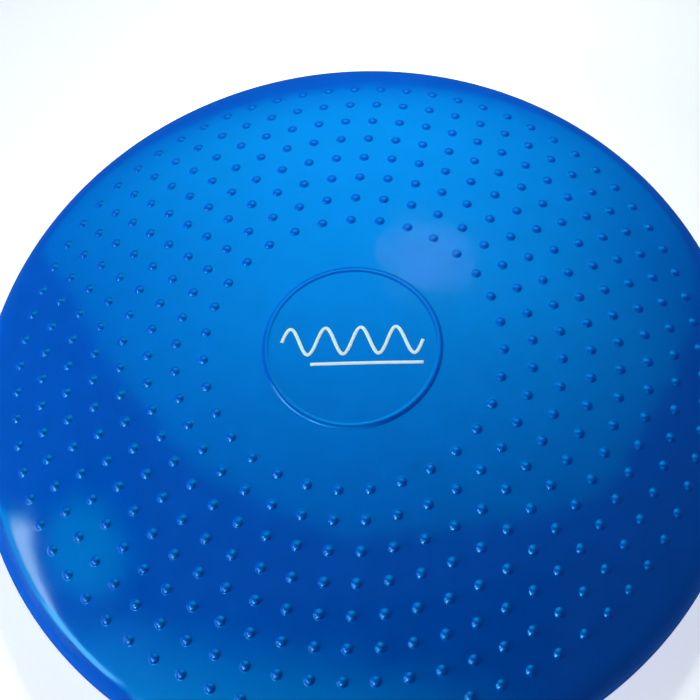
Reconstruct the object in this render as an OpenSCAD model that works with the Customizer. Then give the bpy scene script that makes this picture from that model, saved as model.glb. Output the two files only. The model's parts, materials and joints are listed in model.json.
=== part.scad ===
// Wobble cushion: a round air-filled PVC cushion with small nubs on the upper side,
// blunt spikes on the underside and a needle valve in its side.
// The origin is on the floor under the centre, +Z is up and the valve is on the -Y side.

/* [Bladder] */
// Radius of the cushion at its equator, without the parting line
rim_r = 165; // [162:1:170]
// Radius of the rounded edge
edge_r = 11.5; // [11:0.1:12]
// Slope of the skins where they run into the rounded edge, degrees
edge_slope = 20.7; // [20:0.1:21.5]
// Thickness of the moulded wall
wall = 3.5; // [3:0.1:4]
// Radius of the middle zone of the upper skin
crown_r = 79.5; // [78:0.5:81]
// Drop of the upper skin from its centre to the edge of the middle zone
crown_drop = 4.3; // [4:0.1:4.6]
// Radius where the springy shoulder begins
shoulder_r = 138; // [137:0.5:139]
// Drop of the upper skin from its centre to the shoulder
shoulder_drop = 16.1; // [15.8:0.1:16.4]
// Drop of the upper skin from its centre to the rounded edge
edge_drop = 22.8; // [22.5:0.1:23.2]
// Radius of the part of the underside that lies flat on the floor
floor_r = 80; // [76:1:84]
// Radius of curvature of the rest of the underside
belly_r = 570; // [540:10:600]
// How far the parting line stands out of the equator
parting_h = 0.4; // [0.2:0.1:0.6]

/* [Nubs on the upper side] */
// Radius of the ball that a nub is the cap of
nub_r = 2.6; // [2.4:0.1:2.8]
// How far the ball's centre is below the skin
nub_sink = 1.6; // [1.4:0.1:1.8]
// Distance from the centre to the first ring of nubs, along the skin
nub_first = 61.8; // [61:0.1:63]
// Distance between rings of nubs, along the skin
nub_step = 12; // [11.9:0.1:12.1]
// Number of nubs in the first ring
nub_count = 31; // [28:1:34]
// Nubs added from each ring to the next
nub_more = 6; // [4:1:6]
// Direction of the line on which every ring starts, degrees from +X
nub_start = 20.9; // [0:0.1:30]

/* [Medallion] */
// Outer radius of the raised medallion
medallion_r = 36.8; // [34:0.1:40]
// Height of the medallion's plateau
plateau_h = 0.5; // [0.3:0.1:0.8]
// Radius of the rounded bead around the medallion
bead_r = 1; // [0.8:0.1:1.2]
// Thickness of the printed ink
ink_h = 0.2; // [0.1:0.05:0.3]
// Width of the printed line
ink_line = 1.4; // [1:0.1:1.8]
// Width of the printed wave
ink_w = 58; // [50:1:60]
// Height of the wave above and below its middle
wave_h = 6; // [4:0.5:6]

/* [Spikes on the underside] */
// Height of one spike
spike_h = 5; // [4:0.5:6]
// Radius of a spike at its root
spike_root_r = 4; // [3.5:0.1:4.5]
// Radius of a spike's flat tip
spike_tip_r = 1.6; // [1.2:0.1:2]
// Distance between rings of spikes, along the skin
spike_step = 16; // [15.5:0.1:16.2]

/* [Valve] */
// Radius of the pocket that the valve sits in
pocket_r = 6.8; // [6.6:0.1:7]
// Depth of the pocket below the equator
pocket_h = 5; // [4.8:0.1:5.2]
// Radius of the rubber bung
bung_r = 4.5; // [4.2:0.1:4.7]
// Length of the bung behind its flange
bung_l = 19; // [17:0.5:19]
// Radius of the channel for the pump's needle
needle_r = 1; // [0.9:0.1:1.2]
// Radius of the stopper's stem
stem_r = 1.6; // [1.4:0.1:1.8]

/* [Hidden] */
$fn = 96;
fine = 360;

// Sphere centred on the axis through two points of the section: [height of its centre, its radius]
function zone(p, q) =
    let (c = (q[1] ^ 2 - p[1] ^ 2 + q[0] ^ 2 - p[0] ^ 2) / (2 * (q[1] - p[1])))
    [c, norm([p[0], p[1] - c])];

// Section of the bladder
edge_x = rim_r - edge_r;
tangent_x = edge_x + edge_r * sin(edge_slope);
belly_z = spike_h + sqrt(belly_r ^ 2 - floor_r ^ 2);
lower_tangent_z = belly_z - sqrt(belly_r ^ 2 - tangent_x ^ 2);
equator_z = lower_tangent_z + edge_r * cos(edge_slope);
top_z = equator_z + edge_r * cos(edge_slope) + edge_drop;
zones = [
    zone([0, top_z], [crown_r, top_z - crown_drop]),
    zone([crown_r, top_z - crown_drop], [shoulder_r, top_z - shoulder_drop]),
    zone([shoulder_r, top_z - shoulder_drop], [tangent_x, top_z - edge_drop]),
];

// Slope of a sphere of the section at a distance from the axis, degrees
function slope_at(r, sphere_r) = asin(r / sphere_r);
// Length of an arc, from its angle in degrees
function arc(sphere_r, angle) = sphere_r * angle * PI / 180;
// Distance along the upper skin to the outer edges of the first two zones
crown_s = arc(zones[0][1], slope_at(crown_r, zones[0][1]));
shoulder_s = crown_s
    + arc(zones[1][1], slope_at(shoulder_r, zones[1][1]) - slope_at(crown_r, zones[1][1]));
// Start of each zone: [distance along the skin, distance from the axis]
zone_starts = [[0, 0], [crown_s, crown_r], [shoulder_s, shoulder_r]];

// Rings of nubs and spikes, and where the zones of the wall part
nub_rings = 8;
nub_rings_inside = 7;
spike_rings = 9;
spike_rings_inside = 5;
base_r = 88;
zone_gap = 0.3;

// The printed wave, and the straight line that ends under its right end
waves = 4;
wave_y = 1.8;
base_line_w = 46;
base_line_y = -9.2;

// Valve, as distances from the cushion's axis
pocket_x = rim_r - pocket_h;
flange_h = 1.4;
flange_x = pocket_x + flange_h;
boss_r = 6.9;
boss_x = 146;
seat_depth = 7;
bill_l = 5;
bill_tip_r = 2.2;
slit_l = 4;
slit_w = 0.4;
head_r = 4.4;
head_h = 1.2;
tab_w = 1.6;
tab_h = 1.8;
play = 0.05;

// Half section of the solid dome under the upper skin, as far out as x1: where all zones overlap
module dome_section(x1) {
    intersection() {
        translate([0, zones[0][0]]) circle(r = zones[0][1], $fn = fine);
        translate([0, zones[1][0]]) circle(r = zones[1][1], $fn = fine);
        translate([0, zones[2][0]]) circle(r = zones[2][1], $fn = fine);
        translate([0, equator_z]) square([x1, 2 * rim_r]);
    }
}

// Section of the upper wall between two distances from the axis, hollowed by one sphere
module upper_wall_section(x0, x1) {
    inner = zone([0, top_z - wall], [tangent_x, top_z - edge_drop - 1.05 * wall]);
    difference() {
        dome_section(x1);
        translate([0, inner[0]]) circle(r = inner[1], $fn = fine);
        translate([-1, 0]) square([x0 + 1, 3 * rim_r]);
    }
}

// Section of the curved lower wall between two distances from the axis
module belly_section(x0, x1) {
    intersection() {
        translate([0, belly_z]) difference() {
            circle(r = belly_r, $fn = fine);
            circle(r = belly_r - wall, $fn = fine);
        }
        translate([x0, 0]) square([x1 - x0, equator_z]);
    }
}

// Place things on the upper skin, s along it from the centre, in the direction phi, +Z outwards
module on_upper_skin(s, phi) {
    i = s < crown_s ? 0 : s < shoulder_s ? 1 : 2;
    r = zones[i][1];
    slope = slope_at(zone_starts[i][1], r) + (s - zone_starts[i][0]) / r * 180 / PI;
    translate([0, 0, zones[i][0]]) rotate([0, slope, phi]) translate([0, 0, r]) children();
}

// Place things on the lower skin, s along it from the centre, in the direction phi, +Z outwards
module on_lower_skin(s, phi) {
    slope = slope_at(floor_r, belly_r) + (s - floor_r) / belly_r * 180 / PI;
    if (s < floor_r)
        rotate([0, 0, phi]) translate([s, 0, spike_h]) rotate([180, 0, 0]) children();
    else
        translate([0, 0, belly_z]) rotate([0, 180 - slope, phi]) translate([0, 0, belly_r]) children();
}

// Rings of nubs, from ring number first to ring number last
module nubs(first, last) {
    for (ring = [first:last], i = [0:nub_count + nub_more * ring - 1])
        on_upper_skin(nub_first + nub_step * ring, nub_start + 360 * i / (nub_count + nub_more * ring))
            translate([0, 0, -nub_sink]) sphere(r = nub_r, $fn = 24);
}

// Rings of spikes, from ring number first to ring number last
module spikes(first, last) {
    for (ring = [first:last], i = [0:max(1, 6 * ring) - 1])
        on_lower_skin(spike_step * ring, 60 * i / max(1, ring)) spike();
}

// One blunt spike, rooted in the middle of the wall
module spike() {
    root = wall / 2;
    translate([0, 0, -root]) cylinder(h = root, r = spike_root_r, $fn = 32);
    cylinder(h = spike_h, r1 = spike_root_r, r2 = spike_tip_r, $fn = 32);
}

// Place things on the valve's axis, x from the cushion's axis, +Z outwards
module on_valve(x) {
    translate([0, -x, equator_z]) rotate([90, 0, 0]) children();
}

module lower_face() {
    color([0.02, 0.24, 0.66]) {
        rotate_extrude() {
            translate([0, spike_h]) square([floor_r, wall]);
            belly_section(floor_r, base_r);
        }
        spikes(0, spike_rings_inside);
    }
}

module lower_wall() {
    color([0.02, 0.24, 0.66]) {
        rotate_extrude() belly_section(base_r + zone_gap, tangent_x);
        spikes(spike_rings_inside + 1, spike_rings);
    }
}

// The rounded edge, with the parting line and the boss that holds the valve
module rim_band() {
    color([0.03, 0.29, 0.74]) difference() {
        union() {
            rotate_extrude() edge_section();
            on_valve(boss_x) cylinder(h = pocket_x + 2 - boss_x, r = boss_r);
        }
        on_valve(pocket_x) cylinder(h = 2 * pocket_h, r = pocket_r);
        on_valve(boss_x - 1) cylinder(h = pocket_x - boss_x + 2, r = bung_r);
    }
}

// Section of the rounded edge, outside the lower and the upper skin
module edge_section() {
    translate([edge_x, equator_z]) {
        difference() {
            circle(r = edge_r, $fn = fine);
            circle(r = edge_r - wall, $fn = fine);
            translate([-edge_r, -edge_r]) square([edge_r + tangent_x + zone_gap - edge_x, 2 * edge_r]);
        }
        translate([edge_r + parting_h - bead_r, 0]) circle(r = bead_r, $fn = 32);
    }
}

module shoulder_ring() {
    color([0.03, 0.36, 0.85]) {
        rotate_extrude() upper_wall_section(shoulder_r + zone_gap, tangent_x);
        nubs(nub_rings_inside, nub_rings - 1);
    }
}

module upper_face() {
    color([0.03, 0.42, 0.92]) {
        rotate_extrude() upper_wall_section(0, shoulder_r);
        nubs(0, nub_rings_inside - 1);
        medallion();
    }
}

// The raised plateau and the rounded bead around it
module medallion() {
    r = zones[0][1] + plateau_h;
    translate([0, 0, zones[0][0]]) rotate_extrude() {
        intersection() {
            difference() {
                circle(r = r, $fn = fine);
                circle(r = r - wall / 2, $fn = fine);
            }
            square([medallion_r - bead_r, r]);
        }
        rotate([0, 0, 90 - slope_at(medallion_r - bead_r, r)]) translate([zones[0][1], 0])
            circle(r = bead_r, $fn = 32);
    }
}

// A wave over a straight line, in white ink
module printed_mark() {
    r = zones[0][1] + plateau_h;
    color([0.95, 0.97, 1]) difference() {
        intersection() {
            translate([0, 0, zones[0][0]]) sphere(r = r + ink_h, $fn = fine);
            translate([0, 0, top_z - plateau_h]) linear_extrude(3 * plateau_h) {
                translate([0, wave_y]) wave();
                translate([ink_w / 2 - base_line_w, base_line_y]) square([base_line_w, ink_line]);
            }
        }
        translate([0, 0, zones[0][0]]) sphere(r = r, $fn = fine);
    }
}

// A line of even width along a sine
module wave() {
    steps = 24 * waves;
    turn = waves * 360 / ink_w;
    function edge(i, side) =
        let (x = ink_w * (i / steps - 0.5), lean = atan(wave_h * cos(turn * x) * turn * PI / 180))
        [x, wave_h * sin(turn * x)] + side * ink_line / 2 * [-sin(lean), cos(lean)];
    polygon([for (i = [0:steps]) edge(i, -1), for (i = [steps:-1:0]) edge(i, 1)]);
}

// Rubber bung with a flange, a seat for the stopper, the needle's channel and a slit bill
module valve_bung() {
    body_l = bung_l - bill_l;
    color([0.12, 0.12, 0.13]) difference() {
        union() {
            on_valve(pocket_x) cylinder(h = flange_h, r = pocket_r - play);
            on_valve(pocket_x - body_l) cylinder(h = body_l, r = bung_r);
            on_valve(pocket_x - bung_l) cylinder(h = bill_l, r1 = bill_tip_r, r2 = bung_r);
        }
        on_valve(flange_x - seat_depth) cylinder(h = seat_depth + 1, r = stem_r + play);
        on_valve(pocket_x - bung_l + slit_l) cylinder(h = bung_l, r = needle_r);
        on_valve(pocket_x - bung_l - 1) translate([-bill_tip_r, -slit_w / 2, 0])
            cube([2 * bill_tip_r, slit_w, slit_l + 2]);
    }
}

// Stopper with a round head and a tab to pull it by
module valve_plug() {
    stem_l = seat_depth - 1;
    color([0.92, 0.92, 0.9]) {
        on_valve(flange_x - stem_l) cylinder(h = stem_l, r = stem_r);
        on_valve(flange_x) cylinder(h = head_h, r = head_r);
        on_valve(flange_x + head_h) translate([-tab_w / 2, -head_r / 2, 0])
            cube([tab_w, head_r, tab_h - play]);
    }
}

lower_face();
lower_wall();
rim_band();
shoulder_ring();
upper_face();
printed_mark();
valve_bung();
valve_plug();
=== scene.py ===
"""Looks of the wobble cushion. The bladder's skin is built in millimetres from the section of the
CAD part, with its creases smoothed, and scaled to metres. Z is up and the valve is on the -Y side."""
import json
import math

import bpy
import numpy as np
from mathutils import Matrix, Vector

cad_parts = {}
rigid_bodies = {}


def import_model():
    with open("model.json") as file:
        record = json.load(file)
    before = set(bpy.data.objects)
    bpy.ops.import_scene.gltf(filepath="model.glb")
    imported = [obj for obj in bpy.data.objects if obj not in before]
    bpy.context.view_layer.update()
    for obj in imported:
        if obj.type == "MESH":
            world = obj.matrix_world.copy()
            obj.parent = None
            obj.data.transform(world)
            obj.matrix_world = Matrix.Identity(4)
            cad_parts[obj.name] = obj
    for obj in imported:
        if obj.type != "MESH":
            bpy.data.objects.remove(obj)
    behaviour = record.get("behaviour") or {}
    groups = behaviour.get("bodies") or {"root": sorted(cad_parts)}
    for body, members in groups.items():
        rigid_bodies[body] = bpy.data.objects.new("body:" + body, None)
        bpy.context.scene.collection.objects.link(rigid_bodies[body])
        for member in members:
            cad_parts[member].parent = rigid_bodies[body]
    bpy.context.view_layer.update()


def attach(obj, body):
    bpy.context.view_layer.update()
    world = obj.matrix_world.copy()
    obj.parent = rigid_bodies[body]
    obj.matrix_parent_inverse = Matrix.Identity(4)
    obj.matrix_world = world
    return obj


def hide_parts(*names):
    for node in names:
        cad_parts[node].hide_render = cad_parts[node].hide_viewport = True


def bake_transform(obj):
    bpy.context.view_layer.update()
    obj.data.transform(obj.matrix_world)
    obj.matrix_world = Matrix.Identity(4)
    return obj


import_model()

MM = 0.001
UNDER_Z, FLAT_R, BELLY_R = 5.0, 80.0, 570.0
EDGE_X, EDGE_R, EDGE_SLOPE = 153.5, 11.5, math.radians(20.7)
EQUATOR_Z = 32.326
TOP_Z = 65.884
VALVE_PHI = -math.pi / 2


# ---------------------------------------------------------------- section of the bladder

DOME_2, DOME_4 = 5.97e-4, 1.294e-8  # the dome drops by DOME_2 * r^2 + DOME_4 * r^4
DOME_END = 157.7  # distance from the axis whose slope ends the rounded edge
SMOOTHING = 1.8  # standard deviation of the smoothing of creases, along the skin


def dome_slope(r):
    """Slope of the upper skin at a distance from the axis."""
    return np.arctan(2 * DOME_2 * r + 4 * DOME_4 * r**3)


def make_section(step=0.05):
    """The skin's line from the middle of the underside round to the middle of the top, as arrays of
    arc length, distance from the axis, height and slope."""
    tangent_x = EDGE_X + EDGE_R * math.sin(EDGE_SLOPE)
    flat = np.zeros(int(FLAT_R / step))
    a0, a1 = math.asin(FLAT_R / BELLY_R), math.asin(tangent_x / BELLY_R)
    belly = np.linspace(a0, a1, int(BELLY_R * (a1 - a0) / step))
    dome_x = EDGE_X + EDGE_R * math.sin(dome_slope(DOME_END))
    edge_end = math.pi - dome_slope(DOME_END)
    edge = np.linspace(EDGE_SLOPE, edge_end, int(EDGE_R * (edge_end - EDGE_SLOPE) / step))
    r = np.linspace(dome_x, 0, 20000)
    along = np.concatenate([[0], np.cumsum(-np.diff(r) / np.cos(dome_slope((r[1:] + r[:-1]) / 2)))])
    dome_s = np.arange(0, along[-1], step)
    dome = math.pi - dome_slope(np.interp(dome_s, along, r))
    slope = np.concatenate([flat, belly, edge, dome])
    x = np.arange(-120, 121) * step
    kernel = np.exp(-(x / SMOOTHING) ** 2 / 2)
    padded = np.concatenate([np.full(120, slope[0]), slope, np.full(120, slope[-1])])
    slope = np.convolve(padded, kernel / kernel.sum(), mode="valid")
    s = np.arange(len(slope)) * step
    r = np.concatenate([[0], np.cumsum(np.cos(slope[:-1]) * step)])
    z = UNDER_Z + np.concatenate([[0], np.cumsum(np.sin(slope[:-1]) * step)])
    share = s / s[-1]
    return s, r - share * r[-1], z + share * (TOP_Z - z[-1]), slope


S, R, Z, SLOPE = make_section()
LENGTH = S[-1]
EQUATOR_S = float(np.interp(EQUATOR_Z, Z, S))


def at(s):
    """Distance from the axis, height and slope at an arc length."""
    return float(np.interp(s, S, R)), float(np.interp(s, S, Z)), float(np.interp(s, S, SLOPE))


def skin_point(s, phi, lift=0.0):
    """The point at arc length s in the direction phi, lifted off the skin."""
    r, z, a = at(s)
    r += lift * math.sin(a)
    return (r * math.cos(phi), r * math.sin(phi), z - lift * math.cos(a))


# ---------------------------------------------------------------- meshes

class Shape:
    """A mesh under construction. Faces run anticlockwise seen from outside, with phi to the right
    and arc length upwards."""

    def __init__(self):
        self.points, self.faces = [], []

    def add(self, point):
        self.points.append(point)
        return len(self.points) - 1

    def loop(self, s, n, phase=0.0, lift=0.0):
        """A closed circle of n points, as (phi, index) pairs in rising order."""
        turn = 2 * math.pi / n
        return [(phase + k * turn, self.add(skin_point(s, phase + k * turn, lift))) for k in range(n)]

    def rows(self, low, high, gap=0):
        """Faces between two circles with the same points, less gap of them on each side of the first."""
        n = len(low)
        for k in range(gap, n - gap):
            j = (k + 1) % n
            self.faces.append((low[k][1], low[j][1], high[j][1], high[k][1]))

    def stack(self, circles, gap=0):
        """Faces between circles with the same points."""
        for low, high in zip(circles, circles[1:]):
            self.rows(low, high, gap)

    def fan(self, circle, point):
        """Triangles from a circle to a point inside it."""
        middle = self.add(point)
        for k in range(len(circle)):
            self.faces.append((circle[k][1], circle[(k + 1) % len(circle)][1], middle))

    def zip(self, low, high):
        """Triangles between two closed circles with different points."""
        full = 2 * math.pi
        near = min(range(len(high)), key=lambda k: abs(math.remainder(high[k][0] - low[0][0], full)))
        high = high[near:] + high[:near]
        first = math.remainder(high[0][0] - low[0][0], full)
        a = [(p[0] - low[0][0]) % full for p in low] + [full]
        b = [first + (p[0] - high[0][0]) % full for p in high] + [first + full]
        n, m = len(low), len(high)
        i = j = 0
        while i < n or j < m:
            li, hj = low[i % n][1], high[j % m][1]
            if j == m or (i < n and a[i + 1] - b[j] <= b[j + 1] - a[i]):
                self.faces.append((li, low[(i + 1) % n][1], hj))
                i += 1
            else:
                self.faces.append((li, high[(j + 1) % m][1], hj))
                j += 1

    def bumps(self, middle, half, n, phase, side, section, tip):
        """A band of n cells round the axis with a bump in each. section lists (radius, lift) from the
        foot inwards, and tip is the lift of its middle. Returns the band's lower and upper circles."""
        grid = {}
        turn = 2 * math.pi / n

        def corner(col, row):
            key = (col % (n * side), row)
            if key not in grid:
                phi = phase + (key[0] / side - 0.5) * turn
                grid[key] = self.add(skin_point(middle + half * (2 * row / side - 1), phi))
            return grid[key]

        for i in range(n):
            left, right = i * side, (i + 1) * side
            outer = [corner(right, k) for k in range(side)]
            outer += [corner(right - k, side) for k in range(side)]
            outer += [corner(left, side - k) for k in range(side)]
            outer += [corner(left + k, 0) for k in range(side)]
            self.fill(outer, middle, phase + i * turn, section, tip)
        low = [(phase + (k / side - 0.5) * turn, corner(k, 0)) for k in range(n * side)]
        high = [(phase + (k / side - 0.5) * turn, corner(k, side)) for k in range(n * side)]
        return low, high

    def fill(self, outer, middle, phi, section, tip):
        """Rings of a bump inside the closed line outer, which starts at the lower right corner."""
        n = len(outer)
        for radius, lift in section:
            ring = []
            for k in range(n):
                a = 2 * math.pi * k / n - math.pi / 4
                s = middle + radius * math.sin(a)
                r = max(at(s)[0], 1.0)
                ring.append(self.add(skin_point(s, phi + radius * math.cos(a) / r, lift)))
            for k in range(n):
                j = (k + 1) % n
                self.faces.append((outer[k], outer[j], ring[j], ring[k]))
            outer = ring
        top = self.add(skin_point(middle, phi, tip))
        for k in range(n):
            self.faces.append((outer[k], outer[(k + 1) % n], top))

    def make(self, name, material):
        """The finished object, in metres."""
        mesh = bpy.data.meshes.new(name)
        mesh.from_pydata([[c * MM for c in p] for p in self.points], [], self.faces)
        mesh.validate()
        mesh.shade_smooth()
        mesh.materials.append(material)
        made = bpy.data.objects.new(name, mesh)
        bpy.context.scene.collection.objects.link(made)
        return made


def nub_section(radius, sink, fillet):
    """The cap of a ball whose centre is below the skin, with a fillet round its foot. Returns
    (radius, lift) pairs from the foot inwards and the lift of the middle."""
    reach = math.sqrt((radius + fillet) ** 2 - (fillet + sink) ** 2)
    lean = math.asin(reach / (radius + fillet))
    pairs = [(reach + 0.4, 0.0)]
    for k in range(4):
        a = lean * k / 4
        pairs.append((reach - fillet * math.sin(a), fillet - fillet * math.cos(a)))
    for k in range(5, 0, -1):
        a = lean * k / 5
        pairs.append((radius * math.sin(a), radius * math.cos(a) - sink))
    return pairs, radius - sink


def spike_section(root, tip, height, foot):
    """A blunt cone with a fillet at its foot and a rounded tip. Returns (radius, lift) pairs from
    the foot inwards and the lift of the middle."""
    lean = math.atan2(root - tip, height)
    pairs = [(root + foot + 0.5, 0.0)]
    for k in range(4):
        a = (math.pi / 2 - lean) * k / 4
        pairs.append((root + foot * (1 - math.sin(a)), foot * (1 - math.cos(a))))
    for k in (0.3, 0.55, 0.78):
        pairs.append((root + (tip - root) * k, height * k))
    for k in (0.9, 0.96, 0.99):
        pairs.append((tip + (root - tip) * 0.1 * (1 - k) * 8, height * k))
    pairs.append((tip * 0.55, height))
    return pairs, height


# ---------------------------------------------------------------- materials

def material(name, color, rough, specular=0.5):
    """A plain material and its node tree's Principled node."""
    made = bpy.data.materials.new(name)
    made.use_nodes = True
    shader = made.node_tree.nodes["Principled BSDF"]
    shader.inputs["Base Color"].default_value = (*color, 1)
    shader.inputs["Roughness"].default_value = rough
    shader.inputs["Specular IOR Level"].default_value = specular
    return made, shader


def noise(tree, coords, scale, detail, low, high):
    """Noise of a scale per metre, mapped to a range."""
    n = tree.nodes.new("ShaderNodeTexNoise")
    n.inputs["Scale"].default_value = scale
    n.inputs["Detail"].default_value = detail
    tree.links.new(coords, n.inputs["Vector"])
    m = tree.nodes.new("ShaderNodeMapRange")
    m.inputs["From Min"].default_value = 0.3
    m.inputs["From Max"].default_value = 0.7
    m.inputs["To Min"].default_value = low
    m.inputs["To Max"].default_value = high
    tree.links.new(n.outputs["Fac"], m.inputs["Value"])
    return m.outputs["Result"]


def bump(tree, height, strength, distance, normal=None):
    """A bump node on a height, chained after another one's normal."""
    b = tree.nodes.new("ShaderNodeBump")
    b.inputs["Strength"].default_value = strength
    b.inputs["Distance"].default_value = distance
    tree.links.new(height, b.inputs["Height"])
    if normal is not None:
        tree.links.new(normal, b.inputs["Normal"])
    return b.outputs["Normal"]


def vinyl_material():
    """Glossy blue PVC, with the slight waviness and orange peel of a moulded skin, a random mottle of
    tone and a painted hazy highlight beside the medallion.
    """
    made, shader = material("blue_vinyl", (0.0, 0.11, 0.66), 0.1, 0.5)
    tree = made.node_tree
    coords = tree.nodes.new("ShaderNodeTexCoord").outputs["Object"]
    shade = noise(tree, coords, 70, 6, 0.0, 1.0)
    mix = tree.nodes.new("ShaderNodeMix")
    mix.data_type = "RGBA"
    mix.inputs[6].default_value = (0.0, 0.105, 0.635, 1)
    mix.inputs[7].default_value = (0.0, 0.118, 0.695, 1)
    tree.links.new(shade, mix.inputs[0])
    # Painted highlight: a paler, lighter blue hazy spot just outside the medallion on its far right,
    # mixed into the base colour and broken up by noise.
    gap = tree.nodes.new("ShaderNodeVectorMath")
    gap.operation = "DISTANCE"
    gap.inputs[1].default_value = (0.038, 0.040, 0.064)
    tree.links.new(coords, gap.inputs[0])
    near = tree.nodes.new("ShaderNodeMapRange")
    near.interpolation_type = "SMOOTHSTEP"
    near.inputs["From Min"].default_value = 0.045
    near.inputs["From Max"].default_value = 0.0
    near.inputs["To Max"].default_value = 0.08
    tree.links.new(gap.outputs["Value"], near.inputs["Value"])
    sheen_noise = noise(tree, coords, 120, 5, 0.4, 1.0)
    painted_sheen = tree.nodes.new("ShaderNodeMath")
    painted_sheen.operation = "MULTIPLY"
    tree.links.new(near.outputs["Result"], painted_sheen.inputs[0])
    tree.links.new(sheen_noise, painted_sheen.inputs[1])
    painted_sheen_mix = tree.nodes.new("ShaderNodeMix")
    painted_sheen_mix.data_type = "RGBA"
    painted_sheen_mix.inputs[7].default_value = (0.05, 0.16, 0.66, 1)
    tree.links.new(painted_sheen.outputs["Value"], painted_sheen_mix.inputs[0])
    tree.links.new(mix.outputs[2], painted_sheen_mix.inputs[6])
    tree.links.new(painted_sheen_mix.outputs[2], shader.inputs["Base Color"])
    tree.links.new(noise(tree, coords, 90, 4, 0.08, 0.13), shader.inputs["Roughness"])
    waves = bump(tree, noise(tree, coords, 45, 2, 0, 1), 0.25, 0.0002)
    peel = bump(tree, noise(tree, coords, 1400, 2, 0, 1), 0.12, 0.00004, waves)
    tree.links.new(peel, shader.inputs["Normal"])
    return made


def ink_material():
    """White screen-printing ink."""
    made, shader = material("white_ink", (0.9, 0.98, 0.98), 0.45, 0.4)
    tree = made.node_tree
    coords = tree.nodes.new("ShaderNodeTexCoord").outputs["Object"]
    tree.links.new(noise(tree, coords, 900, 3, 0.38, 0.5), shader.inputs["Roughness"])
    return made


def rubber_material():
    """Black rubber of the bung."""
    made, shader = material("black_rubber", (0.02, 0.02, 0.022), 0.55, 0.4)
    tree = made.node_tree
    coords = tree.nodes.new("ShaderNodeTexCoord").outputs["Object"]
    tree.links.new(noise(tree, coords, 1500, 3, 0.5, 0.62), shader.inputs["Roughness"])
    grain = bump(tree, noise(tree, coords, 2500, 3, 0, 1), 0.3, 0.00005)
    tree.links.new(grain, shader.inputs["Normal"])
    return made


def plug_material():
    """Pale plastic of the stopper."""
    made, shader = material("white_plastic", (0.78, 0.79, 0.8), 0.35, 0.5)
    tree = made.node_tree
    coords = tree.nodes.new("ShaderNodeTexCoord").outputs["Object"]
    tree.links.new(noise(tree, coords, 800, 3, 0.3, 0.42), shader.inputs["Roughness"])
    return made


vinyl = vinyl_material()
ink = ink_material()
rubber = rubber_material()
plastic = plug_material()

# ---------------------------------------------------------------- the skin

SPLIT_A = 120.0  # arc lengths at which the skin's pieces meet
SPLIT_B = 158.4
SPLIT_N = 378
CELL_SIDE = 6  # steps along a side of the cell round a nub or a spike
NUB_FIRST, NUB_STEP, NUB_RINGS, NUB_COUNT, NUB_MORE = 61.8, 12.0, 8, 31, 6
NUB_PHASE = math.radians(20.9)
SPIKE_STEP, SPIKE_RINGS, INNER_RINGS = 16.0, 9, 7
nub, nub_tip = nub_section(2.7, 1.75, 0.6)
spike, spike_tip = spike_section(4.0, 1.6, 5.0, 0.8)
SPIKE_HALF = 5.5
VALVE_N = 96
GAP = 4  # columns of faces left out on each side of the valve
NUB_HALF = 4.5


def spike_band(shape, ring):
    """One ring of spikes. Returns its lower and upper circles."""
    return shape.bumps(SPIKE_STEP * ring, SPIKE_HALF, 6 * ring, 0.0, CELL_SIDE, spike, spike_tip)


def floor_skin():
    """The inner part of the underside, with its spikes."""
    shape = Shape()
    n = 24
    first = shape.loop(8.0, n, -math.pi / 4)
    outer = [index for _, index in first]
    for radius, lift in spike:
        ring = [shape.add((radius * math.cos(2 * math.pi * k / n - math.pi / 4),
                           radius * math.sin(2 * math.pi * k / n - math.pi / 4),
                           UNDER_Z - lift)) for k in range(n)]
        for k in range(n):
            j = (k + 1) % n
            shape.faces.append((outer[j], outer[k], ring[k], ring[j]))
        outer = ring
    top = shape.add((0, 0, UNDER_Z - spike_tip))
    for k in range(n):
        shape.faces.append((outer[(k + 1) % n], outer[k], top))
    below = first
    for ring in range(1, INNER_RINGS + 1):
        low, high = spike_band(shape, ring)
        shape.zip(below, low)
        below = high
    end = shape.loop(SPLIT_A, SPLIT_N)
    shape.zip(below, end)
    return shape.make("skin_under_middle", vinyl)


def belly_skin():
    """The outer part of the underside, with its spikes, as far as the rounded edge."""
    shape = Shape()
    below = shape.loop(SPLIT_A, SPLIT_N)
    for ring in range(INNER_RINGS + 1, SPIKE_RINGS + 1):
        low, high = spike_band(shape, ring)
        shape.zip(below, low)
        below = high
    for s in (152.5, 155.5, SPLIT_B):
        above = shape.loop(s, SPLIT_N)
        shape.zip(below, above) if len(below) != SPLIT_N else shape.rows(below, above)
        below = above
    return shape.make("skin_under_rim", vinyl)


def parting_lift(x):
    """The moulding's parting line, at a distance from the equator."""
    x = abs(x) / 0.9
    return 0.4 * (1 - x * x) ** 1.5 if x < 1 else 0.0


def on_valve(radius, a, depth):
    """The point at a distance and angle round the valve's axis, and at a distance from the
    cushion's axis."""
    return (radius * math.cos(a), -depth, EQUATOR_Z + radius * math.sin(a))


def valve_ring(shape, radius, depth=None, sink=0.0):
    """A circle round the valve's axis, flat or, without a depth, on the rounded edge."""
    ring = []
    for k in range(VALVE_N):
        a = 2 * math.pi * k / VALVE_N - math.pi
        x, _, z = on_valve(radius, a, 0)
        if depth is None:
            fade = min(max((radius - 7.2) / 1.2, 0), 1)
            r = float(np.interp(z, Z, R)) + fade * parting_lift(z - EQUATOR_Z)
            ring.append((a, shape.add((x, sink - math.sqrt(r * r - x * x), z))))
        else:
            ring.append((a, shape.add((x, -depth, z))))
    return ring


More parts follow.
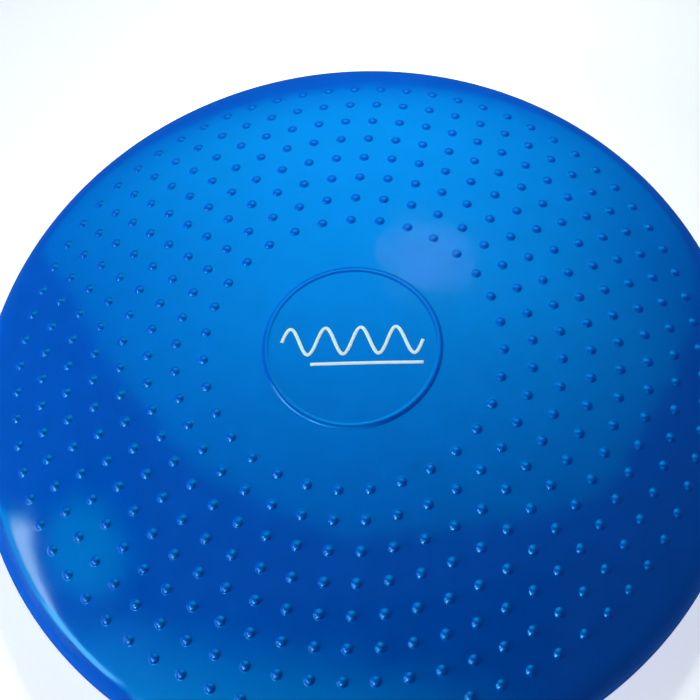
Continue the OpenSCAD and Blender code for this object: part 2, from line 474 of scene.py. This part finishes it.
def valve_pocket(shape, rows):
    """The round pocket of the valve, in the gap that was left in the circles in rows."""
    def columns(row, steps):
        return [row[k][1] for k in steps]

    edge = columns(rows[0], range(-GAP, GAP + 1)) + [row[GAP][1] for row in rows[1:-1]]
    edge += columns(rows[-1], range(GAP, -GAP - 1, -1)) + [row[-GAP][1] for row in rows[-2:0:-1]]
    outer = sorted((math.atan2(shape.points[k][2] - EQUATOR_Z, shape.points[k][0]), k) for k in edge)
    rings = [valve_ring(shape, radius, sink=sink) for radius, sink in
             ((8.1, 0), (7.7, 0), (7.4, 0), (7.15, 0.04), (6.95, 0.18), (6.83, 0.4))]
    rings += [valve_ring(shape, radius, depth) for radius, depth in
              ((6.8, 162.2), (6.8, 160.3), (6.6, 160.1))]
    shape.zip(outer, rings[0])
    shape.stack(rings)
    shape.fan(rings[-1], on_valve(0, 0, 160.1))


def medallion_lift(t):
    """The plateau and its bead, at a distance t from the middle of the top."""
    x = (t - 35.8) / 1.35
    bead = 0.6 * (1 - x * x) ** 1.2 if abs(x) < 1 else 0.0
    step = min(max((36.3 - t) / 1.2, 0.0), 1.0)
    return max(bead, 0.0) + 0.35 * step * step * (3 - 2 * step) * (1 - bead)


def top_skin():
    """The rounded edge and the upper skin, with its nubs and medallion."""
    shape = Shape()
    n = 432
    below = shape.loop(SPLIT_B, SPLIT_N)

    def loops(steps):
        return [shape.loop(EQUATOR_S + x, n, VALVE_PHI, parting_lift(x)) for x in steps]

    line = (-0.95, -0.85, -0.7, -0.5, -0.25, 0, 0.25, 0.5, 0.7, 0.85, 0.95)
    under = loops((-13.8, -12.4, -11.2, -10.2))
    beside = loops((-9.2, *range(-8, -1), *line, *range(2, 9), 9.2))
    over = loops((10.2, 11.2, *np.linspace(12.3, LENGTH - 152.3 - EQUATOR_S, 9)))
    shape.zip(below, under[0])
    shape.stack(under + beside[:1])
    shape.stack(beside, GAP)
    shape.stack(beside[-1:] + over)
    valve_pocket(shape, beside)
    last = over[-1]
    for ring in range(NUB_RINGS - 1, -1, -1):
        count = NUB_COUNT + NUB_MORE * ring
        low, high = shape.bumps(LENGTH - NUB_FIRST - NUB_STEP * ring, NUB_HALF, count, NUB_PHASE,
                                CELL_SIDE, nub, nub_tip)
        shape.zip(last, low)
        last = high
    n = 372
    inner = [55.0, 52.0, 48.0, 44.0, 41.0, 39.0, 38.0] + list(np.arange(37.4, 34.2, -0.15))
    inner += [33.8, 33.0, 31.0, 28.0, 24.0, 20.0, 16.0, 12.0]
    for t in inner:
        row = shape.loop(LENGTH - t, n, NUB_PHASE, medallion_lift(t))
        shape.zip(last, row) if len(last) != n else shape.rows(last, row)
        last = row
    for t, m in ((9.0, 186), (6.0, 93), (3.0, 31)):
        row = shape.loop(LENGTH - t, m, NUB_PHASE, medallion_lift(t))
        shape.zip(last, row)
        last = row
    shape.fan(last, (0, 0, TOP_Z + medallion_lift(0)))
    return shape.make("skin_top", vinyl)


floor_piece = floor_skin()
belly_piece = belly_skin()
top_piece = top_skin()

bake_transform(floor_piece)
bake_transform(belly_piece)
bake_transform(top_piece)
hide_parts("lower_face")
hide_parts("lower_wall")
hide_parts("rim_band", "shoulder_ring", "upper_face")

# ---------------------------------------------------------------- the print

INK_HALF = 0.7
RIBBON = ((-1, -0.1), (-1, 0.1), (-0.86, 0.16), (0, 0.17), (0.86, 0.16), (1, 0.1), (1, -0.1))
WAVE_LENGTH, WAVE_HEIGHT, WAVE_Y, LINE_Y = 14.5, 6, 1.8, -8.5


def mark():
    """A wave over a straight line, as ribbons that lie on the medallion."""
    shape = Shape()

    def dome(x, y):
        t = math.hypot(x, y)
        return float(np.interp(LENGTH - t, S, Z)) + medallion_lift(t)

    def ribbon(points):
        rows = []
        for k, (x, y) in enumerate(points):
            a, b = points[max(k - 1, 0)], points[min(k + 1, len(points) - 1)]
            dx, dy = b[0] - a[0], b[1] - a[1]
            size = math.hypot(dx, dy)
            dx, dy = dx / size, dy / size
            row = []
            for side, lift in RIBBON:
                px, py = x - dy * INK_HALF * side, y + dx * INK_HALF * side
                row.append(shape.add((px, py, dome(px, py) + lift)))
            rows.append(row)
        for a, b in zip(rows, rows[1:]):
            for k in range(len(a) - 1):
                shape.faces.append((a[k], b[k], b[k + 1], a[k + 1]))
        shape.faces.append(tuple(rows[0]))
        shape.faces.append(tuple(reversed(rows[-1])))

    wave_x = np.linspace(-29, 29, 385)
    ribbon([(x, WAVE_Y + WAVE_HEIGHT * math.sin(2 * math.pi * x / WAVE_LENGTH)) for x in wave_x])
    ribbon([(x, LINE_Y) for x in np.linspace(-17, 29, 61)])
    return shape.make("print_mark", ink)


print_piece = mark()
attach(print_piece, "top")
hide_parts("printed_mark")

# ---------------------------------------------------------------- the valve

def turned(shape, profile):
    """A body turned round the valve's axis, closed at both ends. profile lists (depth, radius)."""
    rings = [valve_ring(shape, radius, depth) for depth, radius in profile]
    shape.stack(rings)
    shape.fan(rings[0][::-1], on_valve(0, 0, profile[0][0]))
    shape.fan(rings[-1], on_valve(0, 0, profile[-1][0]))


def bung():
    """The bung's flange and the seat for the stopper's stem."""
    shape = Shape()
    turned(shape, [(160.15, 6.7), (161.1, 6.72), (161.28, 6.68), (161.37, 6.58), (161.4, 6.4),
                   (161.4, 5.0), (161.4, 2.0), (161.34, 1.8), (161.15, 1.66), (154.5, 1.65)])
    return shape.make("valve_bung_piece", rubber)


TAB_N = 48
TAB = ((162.5, 1.04), (162.7, 1.0), (163.8, 0.96), (164.1, 0.9), (164.27, 0.76), (164.35, 0.5))


def stopper():
    """The stopper: a stem, a round head and a tab."""
    shape = Shape()
    turned(shape, [(155.5, 1.2), (155.7, 1.5), (156.0, 1.6), (161.42, 1.6), (161.42, 4.1),
                   (161.5, 4.3), (161.65, 4.38), (162.2, 4.4), (162.4, 4.36), (162.54, 4.22),
                   (162.6, 4.0), (162.6, 2.5)])
    rings = []
    for depth, size in TAB:
        ring = []
        for k in range(TAB_N):
            a = 2 * math.pi * k / TAB_N
            rise = math.sin(a)
            x = 0.8 * size * math.cos(a)
            z = size * (1.4 * math.copysign(abs(rise) ** 0.5, rise) + 0.8 * rise)
            ring.append((a, shape.add((x, -depth, EQUATOR_Z + z))))
        rings.append(ring)
    shape.stack(rings)
    shape.fan(rings[0][::-1], on_valve(0, 0, 162.5))
    shape.fan(rings[-1], on_valve(0, 0, 164.35))
    return shape.make("valve_plug_piece", plastic)


bung_piece = bung()
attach(bung_piece, "rim")
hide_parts("valve_bung")
plug_piece = stopper()
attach(plug_piece, "plug")
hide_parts("valve_plug")

# ---------------------------------------------------------------- set, lights and camera

def set_piece(name, points, faces, stuff):
    """A piece of the studio, which is no part of the cushion."""
    mesh = bpy.data.meshes.new(name)
    mesh.from_pydata(points, [], faces)
    mesh.materials.append(stuff)
    made = bpy.data.objects.new(name, mesh)
    bpy.context.scene.collection.objects.link(made)
    return made


floor_stuff, floor_shader = material("pale_floor", (0.86, 0.86, 0.87), 0.7, 0.2)
floor_shader.inputs["Emission Color"].default_value = (1, 1, 1, 1)
floor_shader.inputs["Emission Strength"].default_value = 0.6
ground = set_piece("floor", [(-6, -6, 0), (6, -6, 0), (6, 6, 0), (-6, 6, 0)], [(0, 1, 2, 3)], floor_stuff)
ground.visible_glossy = False


def panel(name, points, faces, glow, color):
    """A lit panel that shows only in reflections. glow gives its brightness at a point."""
    stuff = bpy.data.materials.new(name)
    stuff.use_nodes = True
    tree = stuff.node_tree
    tree.nodes.clear()
    light = tree.nodes.new("ShaderNodeEmission")
    light.inputs["Color"].default_value = (*color, 1)
    level = tree.nodes.new("ShaderNodeAttribute")
    level.attribute_name = "glow"
    tree.links.new(level.outputs["Fac"], light.inputs["Strength"])
    out = tree.nodes.new("ShaderNodeOutputMaterial")
    tree.links.new(light.outputs["Emission"], out.inputs["Surface"])
    made = set_piece(name, points, faces, stuff)
    levels = made.data.attributes.new("glow", "FLOAT", "POINT")
    levels.data.foreach_set("value", [glow(*p) for p in points])
    made.visible_camera = made.visible_diffuse = made.visible_shadow = False
    return made


def sheet_between(near, far, rows):
    """Points and faces of a sheet between two lines with the same number of points."""
    points, faces, n = [], [], len(near)
    for k in range(rows + 1):
        t = (k / rows) ** 2
        points += [tuple(a + (b - a) * t for a, b in zip(p, q)) for p, q in zip(near, far)]
    for k in range(rows):
        for j in range(n - 1):
            faces.append((k * n + j, k * n + j + 1, (k + 1) * n + j + 1, (k + 1) * n + j))
    return points, faces


def along(corners, n):
    """n points at even steps along a line with corners."""
    c = np.array(corners, float)
    d = np.concatenate([[0], np.cumsum(np.linalg.norm(np.diff(c, axis=0), axis=1))])
    t = np.linspace(0, d[-1], n)
    return list(zip(*(np.interp(t, d, c[:, k]).tolist() for k in range(3))))


def lamp(name, kind, where, aim, power, color):
    """A light aimed at a point, with glossy rays turned off."""
    light = bpy.data.lights.new(name, kind)
    light.energy = power
    light.color = color
    made = bpy.data.objects.new(name, light)
    made.location = where
    made.rotation_euler = (Vector(aim) - Vector(where)).to_track_quat("-Z", "Y").to_euler()
    made.visible_glossy = False
    bpy.context.scene.collection.objects.link(made)
    return light


def ceiling_glow(x, y, z):
    """Glow of the ceiling: brightest over the far side of the cushion."""
    reach = 2.6 if y > 1.25 else 0.62
    side = 0.9 + 0.45 * max(y - 1.25, 0)
    return 0.5 + 4.4 * math.exp(-((x - 0.15) / side) ** 2 / 1.6 - ((y - 1.25) / reach) ** 2 / 2)


CEILING = 1.5  # height of the level panels
BACKDROP_R = 5.9
WALL_R = 2.0  # distance of the upright panels
near_line = along([(-3.9, 4.75, CEILING), (-1.66, 1.84, CEILING), (-1.1, 1.03, CEILING),
                   (-0.58, 0.34, CEILING), (-0.1, 0, CEILING), (0.85, -0.02, CEILING),
                   (2.0, 1.0, CEILING), (4.2, 3.6, CEILING)], 60)
far_line = along([(-3.4, 6, CEILING), (4.4, 6, CEILING)], 60)
panel("ceiling_panel", *sheet_between(near_line, far_line, 24), ceiling_glow, (0.01, 0.84, 1.1))


def round_about(radius, a0, a1, z, n):
    """Points round the cushion from one azimuth to another, measured from +Y towards +X."""
    turns = [math.radians(a0 + (a1 - a0) * k / (n - 1)) for k in range(n)]
    return [(radius * math.sin(a), radius * math.cos(a), z) for a in turns]


backdrop_stuff, backdrop_shader = material("backdrop", (0, 0, 0), 1.0, 0.0)
backdrop_shader.inputs["Emission Color"].default_value = (0.93, 0.95, 0.97, 1)
backdrop_shader.inputs["Emission Strength"].default_value = 1.0
backdrop_foot = round_about(BACKDROP_R, 0, 360, -0.2, 49)
backdrop_head = round_about(BACKDROP_R, 0, 360, 6, 49)
backdrop = set_piece("backdrop", *sheet_between(backdrop_foot, backdrop_head, 1), backdrop_stuff)
backdrop.visible_glossy = backdrop.visible_diffuse = backdrop.visible_shadow = False


def round_sheet(radius, a0, a1, z0, z1):
    """Points and faces of an upright sheet round the cushion."""
    return sheet_between(round_about(radius, a0, a1, z0, 12), round_about(radius, a0, a1, z1, 12), 1)


def patch(x0, y0, x1, y1, z, n=16):
    """Points and faces of a level sheet."""
    wide = n + 1
    points = [(x0 + (x1 - x0) * i / n, y0 + (y1 - y0) * j / n, z)
              for j in range(wide) for i in range(wide)]
    faces = [(j * wide + i, j * wide + i + 1, (j + 1) * wide + i + 1, (j + 1) * wide + i)
             for j in range(n) for i in range(n)]
    return points, faces


def soft_patch(x, y, z):
    """A soft-edged glow."""
    dx, dy = (x + 1.38) / 0.42, (y - 0.08) / 0.30
    return 2.4 * max(0, 1 - (dx * dx + dy * dy) ** 2)


def near_glow(x, y, z):
    """A broad soft glow over the camera's side, which only the nubs reflect."""
    dx, dy = (x + 1.25) / 1.9, (y + 1.4) / 1.12
    return 3.6 * max(0, 1 - (dx * dx + dy * dy) ** 2)


panel("patch_panel", *patch(-1.9, -0.3, -0.9, 0.5, CEILING), soft_patch, (0.0, 0.9, 1.0))
wall_sheet = round_sheet(WALL_R, -99, -81, 1.29, 1.55)
panel("wall_panel", *wall_sheet, lambda x, y, z: 11.0, (0.5, 0.8, 0.82))
glow_sheet = round_sheet(WALL_R + 0.05, -106, -79.5, 0.8, 1.75)
panel("glow_panel", *glow_sheet, lambda x, y, z: 4.0, (0.0, 0.85, 1.0))
window_sheet = round_sheet(WALL_R, -150, -126, 0.6, 2.6)
panel("window_panel", *window_sheet, lambda x, y, z: 24 - 3.5 * z, (0.15, 0.78, 1.0))
left_sheet = round_sheet(WALL_R, -118, -98, 1.0, 2.4)
panel("left_panel", *left_sheet, lambda x, y, z: 12.0, (0.15, 0.78, 1.0))
panel("near_panel", *patch(-3.2, -2.6, 0.7, -0.25, CEILING), near_glow, (0.0, 0.75, 1.0))

key = lamp("key", "SPOT", (0.282, 1.025, 1.35), (0.03, 0.105, 0.05), 108, (1, 1, 1))
key.spot_size, key.spot_blend, key.shadow_soft_size = 0.28, 1.0, 0.15
side = lamp("side", "AREA", (-1.31, -0.231, 0.33), (0, 0, 0.05), 15.8, (1, 1, 1))
side.size = 0.7

world = bpy.data.worlds.new("studio")
bpy.context.scene.world = world
world.use_nodes = True
world.node_tree.nodes["Background"].inputs["Color"].default_value = (0.35, 0.75, 1.0, 1)
world.node_tree.nodes["Background"].inputs["Strength"].default_value = 0.09

# The studio and the camera are turned a little about the cushion's axis
turn = Matrix.Rotation(math.radians(6.7), 4, "Z")
for made in bpy.context.scene.objects:
    if made.type == "LIGHT" or made.name.endswith("_panel"):
        made.matrix_world = turn @ made.matrix_basis
eye, aim = turn @ Vector((0, -0.21949, 0.50292)), Vector((0, 0, 0.06347))
camera = bpy.data.objects.new("camera", bpy.data.cameras.new("camera"))
camera.data.lens = 61.55
camera.data.sensor_width = 36
camera.data.shift_x = -0.0036
camera.data.shift_y = -0.0037
camera.location = eye
look = (aim - eye).to_track_quat("-Z", "Y").to_matrix()
camera.rotation_euler = (look @ Matrix.Rotation(math.radians(-7.52), 3, "Z")).to_euler()
bpy.context.scene.collection.objects.link(camera)
bpy.context.scene.camera = camera
bpy.context.scene.view_settings.view_transform = "Standard"
